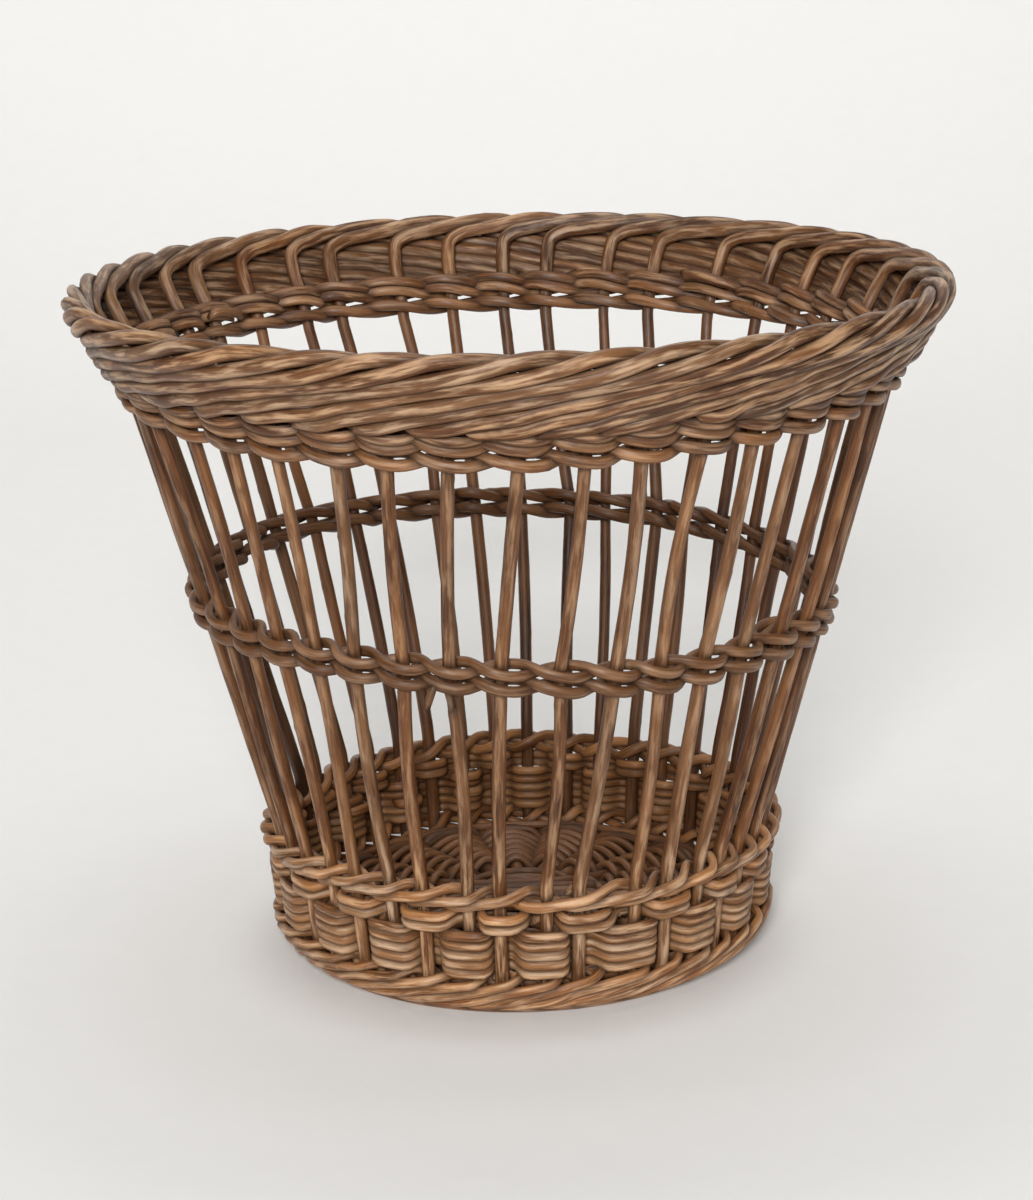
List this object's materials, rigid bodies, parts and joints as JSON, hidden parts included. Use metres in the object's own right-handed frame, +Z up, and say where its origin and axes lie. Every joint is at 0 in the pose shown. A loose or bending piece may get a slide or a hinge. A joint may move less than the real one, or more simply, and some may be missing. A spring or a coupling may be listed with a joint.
{
  "type": "wicker waste basket",
  "caption": "Round willow waste basket with a flared open wall of bare stakes, woven bands at foot, waist and neck, and a rolled border.",
  "frame": {"origin": "centre of the foot, on the surface that the basket stands on", "axes": "+Z up along the basket's axis, the pictured side faces -Y"},
  "size_m": [0.357, 0.357, 0.2796],
  "materials": {
    "stakes": "aged buff willow, peeled, semi-gloss where handled",
    "foot_weave": "aged buff willow, close weave, dusty between the rods",
    "waist_weave": "aged buff willow, twined, worn pale on the turns",
    "neck_weave": "aged buff willow, close weave, worn pale on the turns",
    "base": "aged buff willow, dark and matt"
  },
  "bodies": {
    "root": {"foot_hoop": "foot_weave", "foot_wale": "foot_weave", "foot_band_lower_weaver": "foot_weave", "foot_band_upper_weaver": "foot_weave", "waist_fitch_lower_a": "waist_weave", "waist_fitch_lower_b": "waist_weave", "waist_fitch_upper_a": "waist_weave", "waist_fitch_upper_b": "waist_weave", "neck_band_weaver": "neck_weave", "base_weaver": "base", "base_stick_lower_1": "base", "base_stick_lower_2": "base", "base_stick_lower_3": "base", "base_stick_lower_4": "base", "base_stick_lower_5": "base", "base_stick_upper_1": "base", "base_stick_upper_2": "base", "base_stick_upper_3": "base", "base_stick_upper_4": "base", "base_stick_upper_5": "base", "stake_01": "stakes", "stake_02": "stakes", "stake_03": "stakes", "stake_04": "stakes", "stake_05": "stakes", "stake_06": "stakes", "stake_07": "stakes", "stake_08": "stakes", "stake_09": "stakes", "stake_10": "stakes", "stake_11": "stakes", "stake_12": "stakes", "stake_13": "stakes", "stake_14": "stakes", "stake_15": "stakes", "stake_16": "stakes", "stake_17": "stakes", "stake_18": "stakes", "stake_19": "stakes", "stake_20": "stakes", "stake_21": "stakes", "stake_22": "stakes", "stake_23": "stakes", "stake_24": "stakes", "stake_25": "stakes", "stake_26": "stakes", "stake_27": "stakes", "stake_28": "stakes", "stake_29": "stakes", "stake_30": "stakes", "stake_31": "stakes", "stake_32": "stakes", "stake_33": "stakes", "stake_34": "stakes", "stake_35": "stakes", "stake_36": "stakes", "stake_37": "stakes", "stake_38": "stakes", "stake_39": "stakes", "stake_40": "stakes"}
  },
  "joints": []
}
